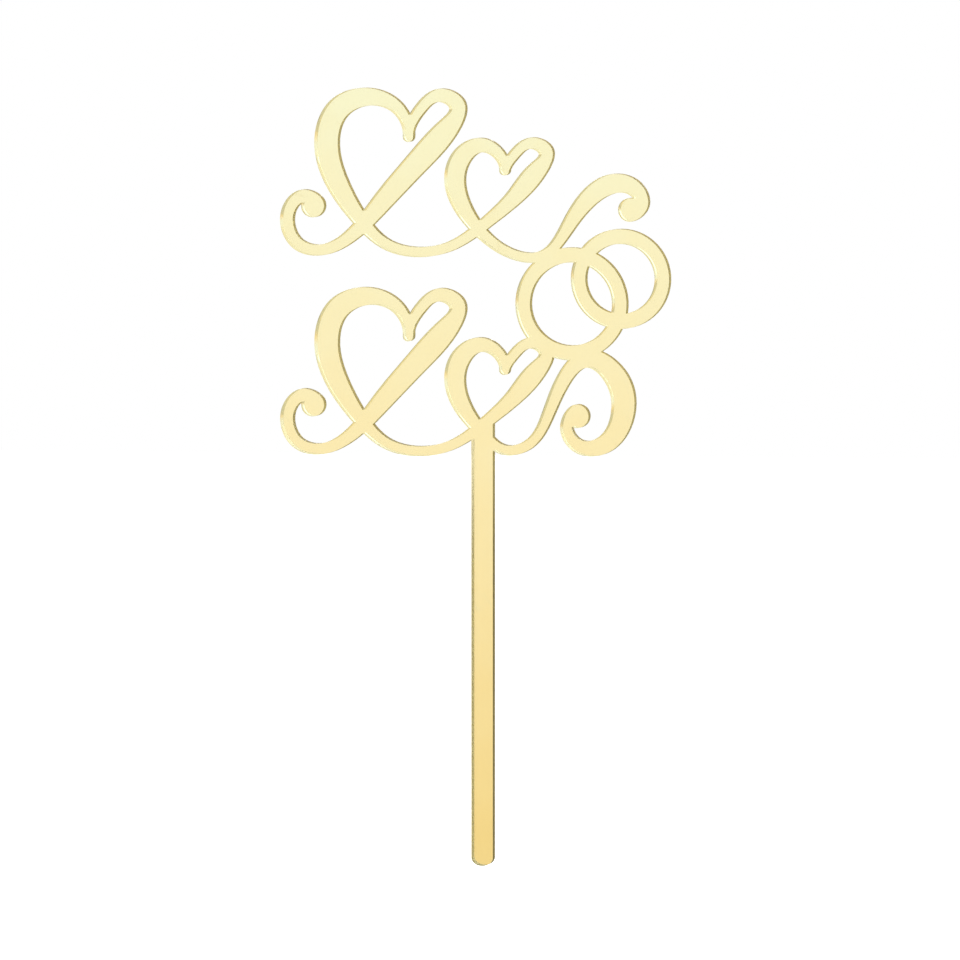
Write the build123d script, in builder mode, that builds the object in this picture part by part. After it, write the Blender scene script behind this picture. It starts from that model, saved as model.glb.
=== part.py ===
from build123d import *
import os

os.makedirs("parts", exist_ok=True)

# A flat cake topper, cut in one piece from gold mirror acrylic: two rows of
# linked hearts, a pair of linked rings, and a stick that goes into the cake.
# The front faces -Y, and the origin is the tip of the stick, half way
# through the sheet.

# Overall sizes, in millimetres
head_width = 92.7
head_height = 84.0
stick_length = 94.0
stick_width = 5.0
stick_tip_depth = 1.9

# Layers of the mirror sheet, from the front to the back
acrylic_thickness = 2.80
film_thickness = 0.08
coat_thickness = 0.12

# Sizes of the ornament
pen_width = 5.5
curl_ball_radius = 2.7
ring_band = 3.4
large_ring_radius = 11.2
small_ring_radius = 9.7

# Where the stick's centre line runs, as a share of the head's width
stick_across_share = 0.508

# Each pen stroke is a list of places: the share of the head's width from its
# left side, the share of its height from its base, and the share of the full
# pen width there.
heart_right_shares = [
    (0.094, 0.690, 0.46),
    (0.058, 0.706, 0.52),
    (0.025, 0.678, 0.54),
    (0.018, 0.622, 0.54),
    (0.045, 0.573, 0.50),
    (0.100, 0.558, 0.46),
    (0.170, 0.592, 0.54),
    (0.255, 0.690, 0.82),
    (0.345, 0.800, 0.98),
    (0.426, 0.900, 0.86),
    (0.444, 0.955, 0.68),
    (0.402, 0.981, 0.56),
    (0.352, 0.945, 0.48),
    (0.322, 0.868, 0.40),
]
heart_link_shares = [
    (0.322, 0.868, 0.44),
    (0.297, 0.943, 0.52),
    (0.228, 0.976, 0.72),
    (0.147, 0.945, 0.94),
    (0.116, 0.850, 1.00),
    (0.142, 0.742, 0.90),
    (0.198, 0.645, 0.64),
    (0.264, 0.576, 0.46),
    (0.345, 0.554, 0.42),
    (0.430, 0.572, 0.42),
    (0.510, 0.630, 0.50),
    (0.586, 0.704, 0.70),
    (0.650, 0.786, 0.74),
    (0.666, 0.830, 0.60),
    (0.632, 0.852, 0.48),
    (0.589, 0.824, 0.44),
    (0.563, 0.778, 0.38),
]
small_heart_left_shares = [
    (0.563, 0.778, 0.42),
    (0.548, 0.822, 0.48),
    (0.505, 0.846, 0.60),
    (0.456, 0.815, 0.80),
    (0.438, 0.748, 0.84),
    (0.460, 0.672, 0.70),
    (0.508, 0.604, 0.50),
    (0.562, 0.560, 0.42),
]
upper_curl_shares = [
    (0.722, 0.628, 0.58),
    (0.768, 0.698, 0.76),
    (0.830, 0.742, 0.82),
    (0.890, 0.728, 0.66),
    (0.906, 0.684, 0.54),
    (0.882, 0.656, 0.46),
]
lower_rise_shares = [
    (0.625, 0.034, 0.42),
    (0.668, 0.105, 0.48),
    (0.708, 0.205, 0.60),
]
lower_scroll_shares = [
    (0.842, 0.215, 0.95),
    (0.858, 0.115, 0.95),
    (0.812, 0.034, 0.76),
    (0.750, 0.028, 0.58),
    (0.718, 0.078, 0.50),
    (0.736, 0.124, 0.46),
]

# The lower row of hearts repeats the upper one this much further down
row_drop_share = 0.543

# The large ring leans on the lobe of the lower small heart, at this place and
# along this line, and the small ring hangs in it, spaced by the sum of their
# radii
ring_seat_share = (0.632, 0.307)
ring_seat_angle = 45
ring_lean_angle = 27
ring_spacing_share = 0.61

# The strokes that touch the large ring, by angle round it and pen share
upper_touch_angle = 122
upper_touch_share = 0.44
lower_touch_angle = -75
lower_touch_share = 0.76

# How firmly the edges of a stroke follow its direction at its two ends
end_pull_shares = [1, 1]

# The slanted top of the stick lies under the stroke that carries it
stick_top_share = 0.093
stick_top_slope = 0.90


def sheet_place(across_share, up_share):
    """A place on the sheet, from its shares of the head's width and height."""
    return Vector(
        head_width * (across_share - stick_across_share),
        stick_length + head_height * up_share,
    )


def pen_places(shares, drop_share=0):
    """The places of a pen stroke on the sheet, each with its pen width."""
    return [
        (sheet_place(across, up - drop_share), pen_width * pen)
        for across, up, pen in shares
    ]


def from_ring(centre, reach, angle):
    """A place at this reach and angle from a ring's centre."""
    return centre + Vector(reach, 0).rotate(Axis.Z, angle)


def pen_frames(places):
    """The centre, left-hand normal and half width at each place of a stroke."""
    centre_line = Spline(*[place for place, width in places])
    frames = []
    for place, width in places:
        forward = centre_line.tangent_at(centre_line.param_at_point(place))
        frames.append((place, forward.rotate(Axis.Z, 90), width / 2))
    return frames


# Places that tie the rings and the strokes together
ring_reach = large_ring_radius + ring_band / 2
large_ring_centre = from_ring(sheet_place(*ring_seat_share), ring_reach, ring_seat_angle)
ring_spacing = ring_spacing_share * (large_ring_radius + small_ring_radius)
small_ring_centre = from_ring(large_ring_centre, ring_spacing, ring_lean_angle)
upper_touch = from_ring(large_ring_centre, ring_reach, upper_touch_angle)
lower_touch = from_ring(large_ring_centre, ring_reach, lower_touch_angle)

# The strokes of the two rows, and the side on which a ball ends each curl:
# 1 is the left-hand side of the stroke, -1 the right-hand side
upper_exit = (
    pen_places(small_heart_left_shares)
    + [(upper_touch, pen_width * upper_touch_share)]
    + pen_places(upper_curl_shares)
)
lower_exit = (
    pen_places(small_heart_left_shares, row_drop_share)
    + pen_places(lower_rise_shares)
    + [(lower_touch, pen_width * lower_touch_share)]
    + pen_places(lower_scroll_shares)
)
strokes = [pen_frames(upper_exit), pen_frames(lower_exit)]
curl_ends = [(stroke[-1], -1) for stroke in strokes]
for drop_share in (0, row_drop_share):
    heart_right = pen_frames(pen_places(heart_right_shares, drop_share))
    curl_ends.append((heart_right[0], 1))
    strokes.append(heart_right)
    strokes.append(pen_frames(pen_places(heart_link_shares, drop_share)))

# The two rings
ring_bands = []
for centre, radius in (
    (large_ring_centre, large_ring_radius),
    (small_ring_centre, small_ring_radius),
):
    with BuildSketch() as ring:
        with Locations(centre):
            Circle(radius + ring_band / 2)
            Circle(radius - ring_band / 2, mode=Mode.SUBTRACT)
    ring_bands.append(ring.sketch)

# The cutting outline, which every layer of the sheet shares
stick_side = stick_width / 2
stick_top = stick_length + head_height * stick_top_share
stick_top_rise = stick_side * stick_top_slope
with BuildSketch() as outline:
    with BuildLine():
        EllipticalCenterArc((0, stick_tip_depth), stick_side, stick_tip_depth, 180, arc_size=180)
        Polyline(
            (stick_side, stick_tip_depth),
            (stick_side, stick_top + stick_top_rise),
            (-stick_side, stick_top - stick_top_rise),
            (-stick_side, stick_tip_depth),
        )
    make_face()
    for stroke in strokes:
        left_edge = [place + normal * half for place, normal, half in stroke]
        right_edge = [place - normal * half for place, normal, half in stroke]
        first_place, first_normal, first_half = stroke[0]
        last_place, last_normal, last_half = stroke[-1]
        ends = [first_normal.rotate(Axis.Z, -90), last_normal.rotate(Axis.Z, -90)]
        first_tip = first_place - ends[0] * first_half
        last_tip = last_place + ends[1] * last_half
        with BuildLine():
            Spline(*left_edge, tangents=ends, tangent_scalars=end_pull_shares)
            Spline(*right_edge, tangents=ends, tangent_scalars=end_pull_shares)
            ThreePointArc(left_edge[0], first_tip, right_edge[0])
            ThreePointArc(left_edge[-1], last_tip, right_edge[-1])
        make_face()
    for (place, normal, half), side in curl_ends:
        with Locations(place + normal * side * (curl_ball_radius - half)):
            Circle(curl_ball_radius)
    add(ring_bands)

# The layers of the sheet, from the front to the back
sheet_thickness = acrylic_thickness + film_thickness + coat_thickness
acrylic_back = sheet_thickness / 2 - film_thickness - coat_thickness
film_back = acrylic_back + film_thickness
coat_back = film_back + coat_thickness

# Clear amber acrylic, which carries the load
with BuildPart() as acrylic_sheet:
    with BuildSketch(Plane.XZ.offset(-acrylic_back)):
        add(outline.sketch)
    extrude(amount=acrylic_thickness)
acrylic_sheet.part.label = "acrylic_sheet"
export_step(acrylic_sheet.part, "parts/acrylic_sheet.step")

# Gold mirror film on the back of the acrylic
with BuildPart() as mirror_film:
    with BuildSketch(Plane.XZ.offset(-film_back)):
        add(outline.sketch)
    extrude(amount=film_thickness)
mirror_film.part.label = "mirror_film"
export_step(mirror_film.part, "parts/mirror_film.step")

# Protective paint over the film
with BuildPart() as back_coat:
    with BuildSketch(Plane.XZ.offset(-coat_back)):
        add(outline.sketch)
    extrude(amount=coat_thickness)
back_coat.part.label = "back_coat"
export_step(back_coat.part, "parts/back_coat.step")
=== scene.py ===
# The looks of a gold mirror acrylic cake topper: a clear plate with laser-cut edges, the mirror
# film on its back, and the paint that covers the film. Lengths are in metres.
import math

import bmesh
import bpy
from mathutils import Matrix, Vector


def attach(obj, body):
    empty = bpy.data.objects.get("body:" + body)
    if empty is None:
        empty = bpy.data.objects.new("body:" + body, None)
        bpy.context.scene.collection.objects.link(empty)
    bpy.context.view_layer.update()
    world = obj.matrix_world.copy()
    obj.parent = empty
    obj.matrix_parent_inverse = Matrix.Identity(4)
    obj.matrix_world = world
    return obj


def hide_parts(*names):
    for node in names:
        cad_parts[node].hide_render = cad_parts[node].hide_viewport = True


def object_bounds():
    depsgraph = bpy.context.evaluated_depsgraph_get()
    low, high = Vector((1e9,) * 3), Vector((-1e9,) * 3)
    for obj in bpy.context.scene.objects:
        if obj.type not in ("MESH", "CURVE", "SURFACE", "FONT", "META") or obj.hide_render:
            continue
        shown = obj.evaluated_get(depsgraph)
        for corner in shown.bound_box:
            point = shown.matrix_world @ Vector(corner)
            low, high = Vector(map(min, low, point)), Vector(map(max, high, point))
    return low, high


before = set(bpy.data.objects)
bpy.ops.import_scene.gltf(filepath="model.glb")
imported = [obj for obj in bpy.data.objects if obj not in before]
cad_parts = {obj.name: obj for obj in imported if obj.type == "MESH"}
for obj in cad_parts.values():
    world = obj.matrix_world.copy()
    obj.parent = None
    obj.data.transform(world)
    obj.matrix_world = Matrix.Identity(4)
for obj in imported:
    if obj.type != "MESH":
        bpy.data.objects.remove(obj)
cad_low, cad_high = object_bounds()

bl_info = {
    "name": "Gold Mirror Cake Topper",
    "version": (1, 0, 0),
    "blender": (4, 5, 0),
    "location": "View3D > Sidebar > Topper",
    "description": "Dresses a laser-cut gold mirror acrylic cake topper and sets up its studio",
    "category": "Object",
}

# A face whose normal has more than this of the sheet's own direction is its front or its back,
# and one that has less than this is its cut edge
FLAT_NORMAL = 0.999
EDGE_NORMAL = 0.05
# The cut edge turns by less than this from one facet to the next, except at real corners
SMOOTH_ANGLE = math.radians(40)
# Doubled corners of the CAD mesh lie closer than this
MERGE_DISTANCE = 1e-6
# Triangles that lie flatter than this are one face
FLAT_ANGLE = math.radians(0.5)

# Shares of the topper's height between which the painted shade that darkens the cut edge down the
# stick fades out
STICK_SHADE_START_SHARE = 0.39
STICK_SHADE_END_SHARE = 0.63

WHITE = (1.0, 1.0, 1.0)


class PlateSettings(bpy.types.PropertyGroup):
    """Sizes of the clear plate"""

    rim_width: bpy.props.FloatProperty(
        name="Rim Width",
        description="Width of the tiny clear round that the laser leaves along the front rim",
        default=0.00005,
        min=0.0,
        precision=5,
        unit="LENGTH",
    )
    rim_steps: bpy.props.IntProperty(
        name="Rim Steps",
        description="Number of facets across the round of the rim",
        default=2,
        min=1,
    )
    film_gap: bpy.props.FloatProperty(
        name="Film Gap",
        description="Space between the plate and the film, so that they don't share a face",
        default=0.00002,
        min=0.0,
        precision=5,
        unit="LENGTH",
    )


class FinishSettings(bpy.types.PropertyGroup):
    """Colours of the topper"""

    acrylic_tint: bpy.props.FloatVectorProperty(
        name="Acrylic Tint",
        description="Amber tint of the clear acrylic",
        default=(0.992, 0.988, 0.925),
        subtype="COLOR",
    )
    film_pale: bpy.props.FloatVectorProperty(
        name="Film Pale",
        description="Gold of the film where it is palest",
        default=(0.998, 0.960, 0.712),
        subtype="COLOR",
    )
    film_deep: bpy.props.FloatVectorProperty(
        name="Film Deep",
        description="Gold of the film where it is deepest",
        default=(0.998, 0.945, 0.675),
        subtype="COLOR",
    )
    # The cut edge's tones are painted shade and painted light: dark where it is seen from
    # outside, paler where it is seen through the plate, and darker down the stick
    head_edge_shaded_outside: bpy.props.FloatVectorProperty(
        name="Head Edge Outside",
        description="Dark olive of the head's cut edge seen from outside, as painted shade",
        default=(0.380, 0.317, 0.107),
        subtype="COLOR",
    )
    head_edge_lit_inside: bpy.props.FloatVectorProperty(
        name="Head Edge Inside",
        description="Pale tint of the head's polished cut edge seen through the plate, as painted light",
        default=(1.000, 0.970, 0.750),
        subtype="COLOR",
    )
    stick_edge_shaded_outside: bpy.props.FloatVectorProperty(
        name="Stick Edge Outside",
        description="Dark brown of the stick's cut edge seen from outside, as painted shade",
        default=(0.088, 0.066, 0.010),
        subtype="COLOR",
    )
    stick_edge_shaded_inside: bpy.props.FloatVectorProperty(
        name="Stick Edge Inside",
        description="Olive of the stick's frosted cut edge seen through the plate, darkened by painted shade",
        default=(0.320, 0.250, 0.010),
        subtype="COLOR",
    )
    # Painted shade: the cut edge is darker down the stick, fading out between these two heights
    stick_shade_start: bpy.props.FloatProperty(
        name="Stick Shade Start",
        description="Height below which the stick's edge is darkened all over by painted shade",
        default=STICK_SHADE_START_SHARE * cad_high.z,
        unit="LENGTH",
    )
    stick_shade_end: bpy.props.FloatProperty(
        name="Stick Shade End",
        description="Height above which the edge has no painted shade",
        default=STICK_SHADE_END_SHARE * cad_high.z,
        unit="LENGTH",
    )
    paint: bpy.props.FloatVectorProperty(
        name="Paint",
        description="Warm grey of the paint on the back",
        default=(0.600, 0.580, 0.540),
        subtype="COLOR",
    )
    paint_scuffed: bpy.props.FloatVectorProperty(
        name="Paint Scuffed",
        description="Paler grey of the paint where it is scuffed",
        default=(0.700, 0.690, 0.660),
        subtype="COLOR",
    )


class StudioSettings(bpy.types.PropertyGroup):
    """Camera, floor and light"""

    view_azimuth: bpy.props.FloatProperty(
        name="View Azimuth",
        description="How far the camera stands to the right of straight in front",
        default=math.radians(10.5),
        subtype="ANGLE",
    )
    view_elevation: bpy.props.FloatProperty(
        name="View Elevation",
        description="How far the camera stands above the middle of the topper",
        default=math.radians(3.0),
        subtype="ANGLE",
    )
    view_distance: bpy.props.FloatProperty(
        name="View Distance",
        description="From the camera to the middle of the topper",
        default=3.0,
        unit="LENGTH",
    )
    view_width: bpy.props.FloatProperty(
        name="View Width",
        description="Width of what the camera sees at the topper",
        default=0.2196,
        precision=4,
        unit="LENGTH",
    )
    aim_right: bpy.props.FloatProperty(
        name="Aim Right",
        description="How far to the right of the topper's middle the camera aims",
        default=0.0011,
        precision=4,
        unit="LENGTH",
    )
    aim_up: bpy.props.FloatProperty(
        name="Aim Up",
        description="How far above the topper's middle the camera aims",
        default=-0.0006,
        precision=4,
        unit="LENGTH",
    )
    floor_drop: bpy.props.FloatProperty(
        name="Floor Drop",
        description="How far below the stick's tip the floor lies",
        default=0.06,
        unit="LENGTH",
    )
    floor_size: bpy.props.FloatProperty(
        name="Floor Size",
        description="Side of the square floor",
        default=6.0,
        unit="LENGTH",
    )
    floor_colour: bpy.props.FloatVectorProperty(
        name="Floor Colour",
        description="Colour of the floor",
        default=(0.80, 0.80, 0.79),
        subtype="COLOR",
    )
    floor_glow: bpy.props.FloatProperty(
        name="Floor Glow",
        description="What the floor adds for the camera, so that it is white beside the shadow",
        default=0.28,
    )
    shadow_reach: bpy.props.FloatProperty(
        name="Shadow Reach",
        description="How far from the topper the floor shows a shadow",
        default=0.45,
        unit="LENGTH",
    )
    room_light: bpy.props.FloatProperty(
        name="Room Light",
        description="Level of the even light from all round",
        default=0.50,
    )
    key_power: bpy.props.FloatProperty(
        name="Key Power",
        description="Power of the large soft lamp, high on the right",
        default=8.0,
        unit="POWER",
    )
    fill_power: bpy.props.FloatProperty(
        name="Fill Power",
        description="Power of the soft lamp behind, on the left",
        default=4.0,
        unit="POWER",
    )


def feed(tree, source, socket):
    """Feeds a socket: another node's output is linked to it, a plain value is set on it."""
    if isinstance(source, bpy.types.NodeSocket):
        tree.links.new(source, socket)
    else:
        socket.default_value = source


def new_node(tree, kind, name, inputs=None, **fields):
    """Adds a named node to a tree, with its fields set and its inputs fed."""
    node = tree.nodes.new(kind)
    node.name = name
    node.label = name
    for field, value in fields.items():
        setattr(node, field, value)
    for socket, source in (inputs or {}).items():
        feed(tree, source, node.inputs[socket])
    return node


def opaque(colour):
    """A colour with full alpha, as a colour socket wants it."""
    return (*colour, 1.0)


def in_range(tree, name, source, low, high):
    """Spreads a mask evenly from a low value to a high one."""
    inputs = {"Value": source, "To Min": low, "To Max": high}
    return new_node(tree, "ShaderNodeMapRange", name, inputs).outputs["Result"]


def soft_step(tree, name, source, low, high, start=0.0, end=1.0):
    """Turns a value softly from start, where it is low, to end, where it is high."""
    inputs = {"Value": source, "From Min": low, "From Max": high, "To Min": start, "To Max": end}
    node = new_node(tree, "ShaderNodeMapRange", name, inputs, interpolation_type="SMOOTHSTEP")
    return node.outputs["Result"]


def mix_colours(tree, name, mask, first, second):
    """Mixes two colours, the first where a mask is 0 and the second where it is 1."""
    node = new_node(tree, "ShaderNodeMix", name, data_type="RGBA")
    ends = {socket.identifier: socket for socket in (*node.inputs, *node.outputs)}
    for end, source in (("Factor_Float", mask), ("A_Color", first), ("B_Color", second)):
        feed(tree, source, ends[end])
    return ends["Result_Color"]


def product(tree, name, first, second):
    """Two values multiplied."""
    node = new_node(tree, "ShaderNodeMath", name, {0: first, 1: second}, operation="MULTIPLY")
    return node.outputs["Value"]


def shaded(tree, name, colour, level):
    """A colour made lighter or darker by a level that changes over the surface."""
    inputs = {0: colour, "Scale": level}
    node = new_node(tree, "ShaderNodeVectorMath", name, inputs, operation="SCALE")
    return node.outputs["Vector"]


def relief(tree, height, strength, depth):
    """A normal that follows a height over the surface."""
    inputs = {"Height": height, "Strength": strength, "Distance": depth}
    return new_node(tree, "ShaderNodeBump", "relief", inputs).outputs["Normal"]


def new_material(name, shader_inputs):
    """A new material; its maker feeds the shader's inputs once the nodes before it are there."""
    material = bpy.data.materials.new(name)
    material.use_nodes = True
    tree = material.node_tree
    for socket, source in shader_inputs(tree).items():
        feed(tree, source, tree.nodes["Principled BSDF"].inputs[socket])
    return material


def place_on(tree):
    """The place on a piece, in metres."""
    return new_node(tree, "ShaderNodeTexCoord", "place").outputs["Object"]


def new_group(name, inputs):
    """A shader node group that turns a place and some numbers into a mask, and its two ends."""
    group = bpy.data.node_groups.new(name, "ShaderNodeTree")
    group.interface.new_socket("Vector", in_out="INPUT", socket_type="NodeSocketVector")
    for socket, value in inputs.items():
        made = group.interface.new_socket(socket, in_out="INPUT", socket_type="NodeSocketFloat")
        made.default_value = value
    group.interface.new_socket("Mask", in_out="OUTPUT", socket_type="NodeSocketFloat")
    start = group.nodes.new("NodeGroupInput")
    end = group.nodes.new("NodeGroupOutput")
    return group, start.outputs, end.inputs["Mask"]


def mask_of(tree, group, name, **inputs):
    """Places a node group in a tree with its own values, and gives its mask."""
    node = new_node(tree, "ShaderNodeGroup", name, inputs, node_tree=bpy.data.node_groups[group])
    return node.outputs["Mask"]


# Where the noise of the clouds begins to show, and where it is full
CLOUD_RANGE = (0.3, 0.7)
# Scale of the hairlines' cells: small in the direction in which they are drawn out
HAIRLINE_STRETCH = (1.0, 1.0, 0.12)
# The patches in which hairlines show: how many to a metre, and where one begins and is full
PATCH_SCALE = 140.0
PATCH_RANGE = (0.52, 0.66)


def make_clouds():
    """Soft clouds, from 0 to 1: an uneven tint, or the slow waves of a sheet."""
    group, given, mask = new_group("soft_clouds", {"Scale": 50.0, "Detail": 2.0})
    inputs = {name: given[name] for name in ("Vector", "Scale", "Detail")}
    noise = new_node(group, "ShaderNodeTexNoise", "clouds", inputs)
    feed(group, soft_step(group, "spread", noise.outputs["Fac"], *CLOUD_RANGE), mask)


def make_hairlines():
    """Hairlines, 1 on a scratch and 0 elsewhere: in patches, the walls of stretched cells."""
    group, given, mask = new_group("hairlines", {"Scale": 90.0, "Width": 0.02, "Turn": 0.6})
    turned = new_node(
        group, "ShaderNodeVectorRotate", "turn",
        {"Vector": given["Vector"], "Angle": given["Turn"]},
        rotation_type="Y_AXIS",
    )
    stretched = new_node(
        group, "ShaderNodeMapping", "stretch",
        {"Vector": turned.outputs["Vector"], "Scale": HAIRLINE_STRETCH},
    )
    cells = new_node(
        group, "ShaderNodeTexVoronoi", "cells",
        {"Vector": stretched.outputs["Vector"], "Scale": given["Scale"]},
        feature="DISTANCE_TO_EDGE",
    )
    patches = new_node(
        group, "ShaderNodeTexNoise", "patches",
        {"Vector": given["Vector"], "Scale": PATCH_SCALE, "Detail": 1.0},
    )
    wall = soft_step(group, "wall", cells.outputs["Distance"], 0.0, given["Width"], 1.0, 0.0)
    patch = soft_step(group, "patch", patches.outputs["Fac"], *PATCH_RANGE)
    feed(group, product(group, "kept", wall, patch), mask)


# How strongly acrylic bends light
ACRYLIC_IOR = 1.49


def clear_acrylic(finish):
    """Clear amber acrylic, glossy, with a few hairline scratches from handling."""

    def inputs(tree):
        scratches = mask_of(
            tree, "hairlines", "scratches",
            Vector=place_on(tree), Scale=70.0, Width=0.010, Turn=0.7,
        )
        return {
            "Base Color": opaque(finish.acrylic_tint),
            "Roughness": in_range(tree, "gloss", scratches, 0.0, 0.16),
            "IOR": ACRYLIC_IOR,
            "Transmission Weight": 1.0,
        }

    return new_material("clear_acrylic", inputs)


# Scale of the cut's ribs, small across the sheet, where they are drawn out, and their height
RIB_STRETCH = (1.0, 0.06, 1.0)
RIB_HEIGHT = 0.00001
# Roughness of the cut edge, seen from outside and through the plate
EDGE_ROUGH_OUTSIDE = 0.70
STICK_ROUGH_INSIDE = 0.65
HEAD_ROUGH_INSIDE = 0.15


def cut_edge(finish):
    """The laser-cut edge: ribbed, polished in the head and frosted down the stick. Its colour is
    painted shade and light: darker seen from outside than through the plate, and darker down the
    stick.
    """

    def inputs(tree):
        place = place_on(tree)
        along = new_node(
            tree, "ShaderNodeMapping", "along_the_cut", {"Vector": place, "Scale": RIB_STRETCH}
        ).outputs["Vector"]
        ribs = mask_of(tree, "soft_clouds", "ribs", Vector=along, Scale=2600.0, Detail=3.0)
        inside = new_node(tree, "ShaderNodeNewGeometry", "side").outputs["Backfacing"]
        height = new_node(tree, "ShaderNodeSeparateXYZ", "height", {"Vector": place}).outputs["Z"]
        # Painted shade down the stick: this mask is 0 in the stick and 1 in the head, and it also
        # turns the frosted stick edge polished in the head
        clean = soft_step(tree, "clean", height, finish.stick_shade_start, finish.stick_shade_end)
        # Painted shade and light: the edge is darker from outside than through the plate, and
        # darker down the stick than in the head
        outside_tone = mix_colours(
            tree, "outside_tone", clean,
            opaque(finish.stick_edge_shaded_outside), opaque(finish.head_edge_shaded_outside),
        )
        inside_tone = mix_colours(
            tree, "inside_tone", clean,
            opaque(finish.stick_edge_shaded_inside), opaque(finish.head_edge_lit_inside),
        )
        tone = mix_colours(tree, "tone", inside, outside_tone, inside_tone)
        frost = in_range(tree, "frost", clean, STICK_ROUGH_INSIDE, HEAD_ROUGH_INSIDE)
        dull = in_range(tree, "dull", inside, EDGE_ROUGH_OUTSIDE, frost)
        shade = in_range(tree, "shade", ribs, 0.90, 1.08)
        swing = in_range(tree, "swing", ribs, 0.92, 1.08)
        return {
            "Base Color": shaded(tree, "ribbed", tone, shade),
            "Roughness": product(tree, "uneven", dull, swing),
            "IOR": ACRYLIC_IOR,
            "Transmission Weight": 1.0,
            "Normal": relief(tree, ribs, strength=0.3, depth=RIB_HEIGHT),
        }

    return new_material("cut_edge", inputs)


# How high the slow waves of the film stand
WAVE_HEIGHT = 0.000006


def gold_mirror(finish):
    """The gold mirror film: a bright metal, a little uneven in tint and not quite flat."""

    def inputs(tree):
        place = place_on(tree)
        mottle = mask_of(tree, "soft_clouds", "mottle", Vector=place, Scale=85.0, Detail=3.0)
        waves = mask_of(tree, "soft_clouds", "waves", Vector=place, Scale=38.0, Detail=1.0)
        return {
            "Base Color": mix_colours(
                tree, "tint", mottle, opaque(finish.film_pale), opaque(finish.film_deep)
            ),
            "Metallic": 1.0,
            "Roughness": 0.03,
            "Normal": relief(tree, waves, strength=1.0, depth=WAVE_HEIGHT),
        }

    return new_material("gold_mirror", inputs)


# How high the orange peel of the paint stands
PEEL_HEIGHT = 0.00001


def back_paint(finish):
    """The paint on the back: satin, with a fine orange peel, faint clouds and pale scuffs."""

    def inputs(tree):
        place = place_on(tree)
        clouds = mask_of(tree, "soft_clouds", "clouds", Vector=place, Scale=60.0, Detail=4.0)
        peel = mask_of(tree, "soft_clouds", "peel", Vector=place, Scale=1800.0, Detail=2.0)
        scuffs = mask_of(
            tree, "hairlines", "scuffs", Vector=place, Scale=55.0, Width=0.018, Turn=-0.5
        )
        tint = mix_colours(
            tree, "tint", scuffs, opaque(finish.paint), opaque(finish.paint_scuffed)
        )
        shade = in_range(tree, "shade", clouds, 0.94, 1.04)
        return {
            "Base Color": shaded(tree, "clouded", tint, shade),
            "Roughness": in_range(tree, "dull", clouds, 0.42, 0.58),
            "Specular IOR Level": 0.35,
            "Normal": relief(tree, peel, strength=0.4, depth=PEEL_HEIGHT),
        }

    return new_material("back_paint", inputs)


def studio_floor(studio):
    """A plain pale floor that keeps the shadow near the topper and is white beyond."""

    def inputs(tree):
        rays = new_node(tree, "ShaderNodeLightPath", "rays")
        reach = new_node(
            tree, "ShaderNodeVectorMath", "reach", {0: place_on(tree)}, operation="LENGTH"
        )
        level = soft_step(
            tree, "level", reach.outputs["Value"],
            studio.shadow_reach / 2, studio.shadow_reach, studio.floor_glow, 1.0,
        )
        return {
            "Base Color": opaque(studio.floor_colour),
            "Roughness": 0.9,
            "Specular IOR Level": 0.0,
            "Emission Color": opaque(WHITE),
            "Emission Strength": product(tree, "glow", level, rays.outputs["Is Camera Ray"]),
        }

    return new_material("studio_floor", inputs)


def clear_selection():
    """Nothing selected, so that an operator acts only on what is picked next."""
    bpy.ops.object.select_all(action="DESELECT")


def copy_of_node(node, name):
    """A new piece with its own copy of a CAD node's mesh, selected and active."""
    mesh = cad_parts[node].data.copy()
    mesh.name = name
    mesh.materials.clear()
    piece = bpy.data.objects.new(name, mesh)
    bpy.context.collection.objects.link(piece)
    clear_selection()
    piece.select_set(True)
    bpy.context.view_layer.objects.active = piece
    return piece


def is_front(face):
    """True for the front of the sheet."""
    return face.normal.y < -FLAT_NORMAL


def is_back(face):
    """True for the back of the sheet."""
    return face.normal.y > FLAT_NORMAL


def is_flat(face):
    """True for the front and the back of the sheet."""
    return is_front(face) or is_back(face)


def is_cut(face):
    """True for the cut edge of the sheet."""
    return abs(face.normal.y) < EDGE_NORMAL


def select_faces(piece, wanted):
    """Selects the wanted faces of a piece, in edit mode."""
    bpy.ops.mesh.select_all(action="DESELECT")
    shape = bmesh.from_edit_mesh(piece.data)
    for face in shape.faces:
        face.select_set(wanted(face))
    bmesh.update_edit_mesh(piece.data)


def select_rims(piece, wanted):
    """Selects the edges where the wanted faces of a piece end, in edit mode."""
    bpy.ops.mesh.select_all(action="DESELECT")
    shape = bmesh.from_edit_mesh(piece.data)
    for edge in shape.edges:
        first, second = edge.link_faces
        edge.select_set(wanted(first) != wanted(second))
    bmesh.update_edit_mesh(piece.data)


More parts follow.
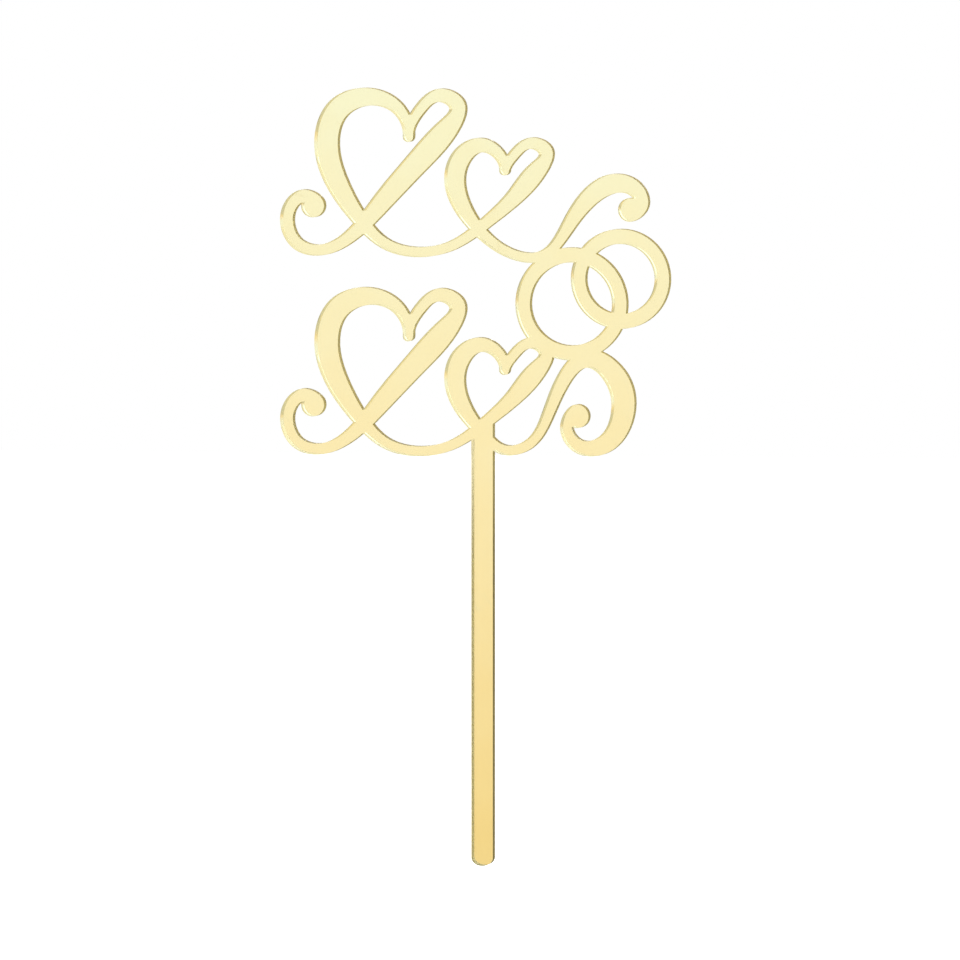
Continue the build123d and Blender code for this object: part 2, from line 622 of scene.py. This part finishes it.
class TOPPER_OT_acrylic_plate(bpy.types.Operator):
    """Make the clear plate, with a softly rounded front rim and laser-cut edges"""

    bl_idname = "topper.acrylic_plate"
    bl_label = "Acrylic Plate"

    def execute(self, context):
        plate_settings = context.scene.topper_plate
        finish = context.scene.topper_finish
        plate = copy_of_node("acrylic_sheet", "acrylic_plate")
        plate.data.materials.append(clear_acrylic(finish))
        plate.data.materials.append(cut_edge(finish))

        bpy.ops.mesh.customdata_custom_splitnormals_clear()
        bpy.ops.object.mode_set(mode="EDIT")
        bpy.ops.mesh.select_mode(type="FACE")
        bpy.ops.mesh.select_all(action="SELECT")
        bpy.ops.mesh.remove_doubles(threshold=MERGE_DISTANCE)
        bpy.ops.mesh.dissolve_limited(angle_limit=FLAT_ANGLE)

        # The back moves forward by the film gap
        select_faces(plate, is_back)
        bpy.ops.transform.translate(value=(0.0, -plate_settings.film_gap, 0.0))

        # The front rim gets its round, and the front and the back are shaded flat
        bpy.ops.mesh.select_mode(type="EDGE")
        select_rims(plate, is_front)
        bpy.ops.mesh.bevel(
            offset=plate_settings.rim_width, segments=plate_settings.rim_steps, affect="EDGES"
        )
        select_rims(plate, is_flat)
        bpy.ops.mesh.mark_sharp()

        # The faces become triangles here, so that the export makes none without any width
        bpy.ops.mesh.select_all(action="SELECT")
        bpy.ops.mesh.quads_convert_to_tris(quad_method="BEAUTY", ngon_method="BEAUTY")

        # The cut edge takes the second of the plate's materials
        shape = bmesh.from_edit_mesh(plate.data)
        for face in shape.faces:
            face.material_index = 1 if is_cut(face) else 0
        bmesh.update_edit_mesh(plate.data)
        bpy.ops.object.mode_set(mode="OBJECT")
        bpy.ops.object.shade_smooth_by_angle(angle=SMOOTH_ANGLE, keep_sharp_edges=True)

        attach(plate, "root")
        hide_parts("acrylic_sheet")
        return {"FINISHED"}


def paint_node(node, material):
    """Gives a CAD node one material all over."""
    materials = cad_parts[node].data.materials
    materials.clear()
    materials.append(material)


class TOPPER_OT_mirror_film(bpy.types.Operator):
    """Turn the film behind the plate into a gold mirror"""

    bl_idname = "topper.mirror_film"
    bl_label = "Mirror Film"

    def execute(self, context):
        paint_node("mirror_film", gold_mirror(context.scene.topper_finish))
        return {"FINISHED"}


class TOPPER_OT_back_coat(bpy.types.Operator):
    """Paint the back of the topper"""

    bl_idname = "topper.back_coat"
    bl_label = "Back Coat"

    def execute(self, context):
        paint_node("back_coat", back_paint(context.scene.topper_finish))
        return {"FINISHED"}


# What the mirror sees in front of it, by height above the horizon in degrees: a white room that
# turns warm towards the floor, with a darker band where the floor begins and a cream one above
# the horizon
ROOM_WHITE = (0.975, 1.0, 1.0)
ROOM_CREAM = (0.92, 0.87, 0.72)
ROOM_SHADE = (0.64, 0.62, 0.505)
ROOM_COLOURS = [
    (-17.5, (0.98, 0.82, 0.50)),
    (-12.5, ROOM_SHADE),
    (-5.4, ROOM_SHADE),
    (-4.65, (0.935, 0.725, 0.40)),
    (-2.9, (1.0, 0.895, 0.735)),
    (-1.25, ROOM_WHITE),
    (1.0, ROOM_WHITE),
    (4.0, ROOM_CREAM),
    (13.0, ROOM_CREAM),
    (18.0, ROOM_WHITE),
]


def light_room(studio):
    """The world: white to the camera, a room to mirrors and glass, and even light to the rest."""
    world = bpy.data.worlds.new("studio_room")
    world.use_nodes = True
    bpy.context.scene.world = world
    tree = world.node_tree
    rays = new_node(tree, "ShaderNodeLightPath", "rays").outputs
    direction = new_node(tree, "ShaderNodeTexCoord", "direction").outputs["Generated"]
    height = new_node(tree, "ShaderNodeSeparateXYZ", "height", {"Vector": direction}).outputs["Z"]
    heights = [math.sin(math.radians(degrees)) for degrees, colour in ROOM_COLOURS]
    low, high = heights[0], heights[-1]
    rise = new_node(
        tree, "ShaderNodeMapRange", "rise", {"Value": height, "From Min": low, "From Max": high}
    )
    room = new_node(tree, "ShaderNodeValToRGB", "room", {"Fac": rise.outputs["Result"]})
    stops = room.color_ramp.elements
    while len(stops) < len(ROOM_COLOURS):
        stops.new(1.0)
    for stop, at, (degrees, colour) in zip(stops, heights, ROOM_COLOURS):
        stop.position = (at - low) / (high - low)
        stop.color = opaque(colour)
    sharp = new_node(
        tree, "ShaderNodeMath", "mirror_or_glass",
        {0: rays["Is Glossy Ray"], 1: rays["Is Transmission Ray"]},
        operation="MAXIMUM",
    )
    even = opaque([studio.room_light] * 3)
    seen = mix_colours(
        tree, "seen_in_mirrors", sharp.outputs["Value"], even, room.outputs["Color"]
    )
    backdrop = mix_colours(tree, "seen_by_camera", rays["Is Camera Ray"], seen, opaque(WHITE))
    feed(tree, backdrop, tree.nodes["Background"].inputs["Color"])


# Where the two lamps stand, and how wide they are
KEY_PLACE = (0.75, -0.55, 0.85)
KEY_SIZE = 1.6
FILL_PLACE = (-0.55, 0.85, 0.75)
FILL_SIZE = 0.6


def add_lamp(name, place, aim, size, power):
    """A square soft lamp that faces a place, hidden from the camera."""
    bpy.ops.object.light_add(type="AREA", location=place)
    lamp = bpy.context.object
    lamp.name = name
    lamp.data.shape = "SQUARE"
    lamp.data.size = size
    lamp.data.energy = power
    lamp.rotation_euler = (Vector(aim) - Vector(place)).to_track_quat("-Z", "Y").to_euler()
    lamp.visible_camera = False


class TOPPER_OT_stage(bpy.types.Operator):
    """Set up the floor, the soft light and the camera"""

    bl_idname = "topper.stage"
    bl_label = "Stage"

    def execute(self, context):
        scene = context.scene
        studio = scene.topper_studio
        scene.view_settings.view_transform = "Standard"
        clear_selection()

        bpy.ops.mesh.primitive_plane_add(size=studio.floor_size)
        floor = context.object
        floor.name = "studio_floor"
        floor.data.transform(Matrix.Translation((0.0, 0.0, -studio.floor_drop)))
        floor.data.materials.append(studio_floor(studio))
        floor.visible_glossy = False
        floor.visible_transmission = False

        light_room(studio)
        middle = (cad_low + cad_high) / 2
        add_lamp("key_lamp", KEY_PLACE, middle, KEY_SIZE, studio.key_power)
        add_lamp("fill_lamp", FILL_PLACE, middle, FILL_SIZE, studio.fill_power)

        across, up = studio.view_azimuth, studio.view_elevation
        back = Vector((
            math.sin(across) * math.cos(up),
            -math.cos(across) * math.cos(up),
            math.sin(up),
        ))
        right = Vector((math.cos(across), math.sin(across), 0.0))
        aim = middle + right * studio.aim_right + Vector((0.0, 0.0, studio.aim_up))
        bpy.ops.object.camera_add(location=aim + back * studio.view_distance)
        camera = context.object
        camera.name = "studio_camera"
        camera.rotation_euler = (-back).to_track_quat("-Z", "Y").to_euler()
        camera.data.lens = camera.data.sensor_width * studio.view_distance / studio.view_width
        scene.camera = camera
        return {"FINISHED"}


class TOPPER_PT_panel(bpy.types.Panel):
    """The topper's pieces, colours and studio"""

    bl_idname = "TOPPER_PT_panel"
    bl_label = "Cake Topper"
    bl_space_type = "VIEW_3D"
    bl_region_type = "UI"
    bl_category = "Topper"

    def draw(self, context):
        layout = self.layout
        for settings in (
            context.scene.topper_plate,
            context.scene.topper_finish,
            context.scene.topper_studio,
        ):
            box = layout.box()
            for name in settings.__annotations__:
                box.prop(settings, name)
        for operator in OPERATORS:
            layout.operator(operator.bl_idname)


SETTINGS = {
    "topper_plate": PlateSettings,
    "topper_finish": FinishSettings,
    "topper_studio": StudioSettings,
}
OPERATORS = [
    TOPPER_OT_acrylic_plate,
    TOPPER_OT_mirror_film,
    TOPPER_OT_back_coat,
    TOPPER_OT_stage,
]
CLASSES = [*SETTINGS.values(), *OPERATORS, TOPPER_PT_panel]


def register():
    """Adds the classes to Blender and the settings to the scene."""
    for item in CLASSES:
        bpy.utils.register_class(item)
    for name, group in SETTINGS.items():
        setattr(bpy.types.Scene, name, bpy.props.PointerProperty(type=group))


def unregister():
    """Takes the settings and the classes out again."""
    for name in SETTINGS:
        delattr(bpy.types.Scene, name)
    for item in reversed(CLASSES):
        bpy.utils.unregister_class(item)


def main():
    register()
    make_clouds()
    make_hairlines()
    bpy.ops.topper.acrylic_plate()
    bpy.ops.topper.mirror_film()
    bpy.ops.topper.back_coat()
    bpy.ops.topper.stage()


if __name__ == "__main__":
    main()
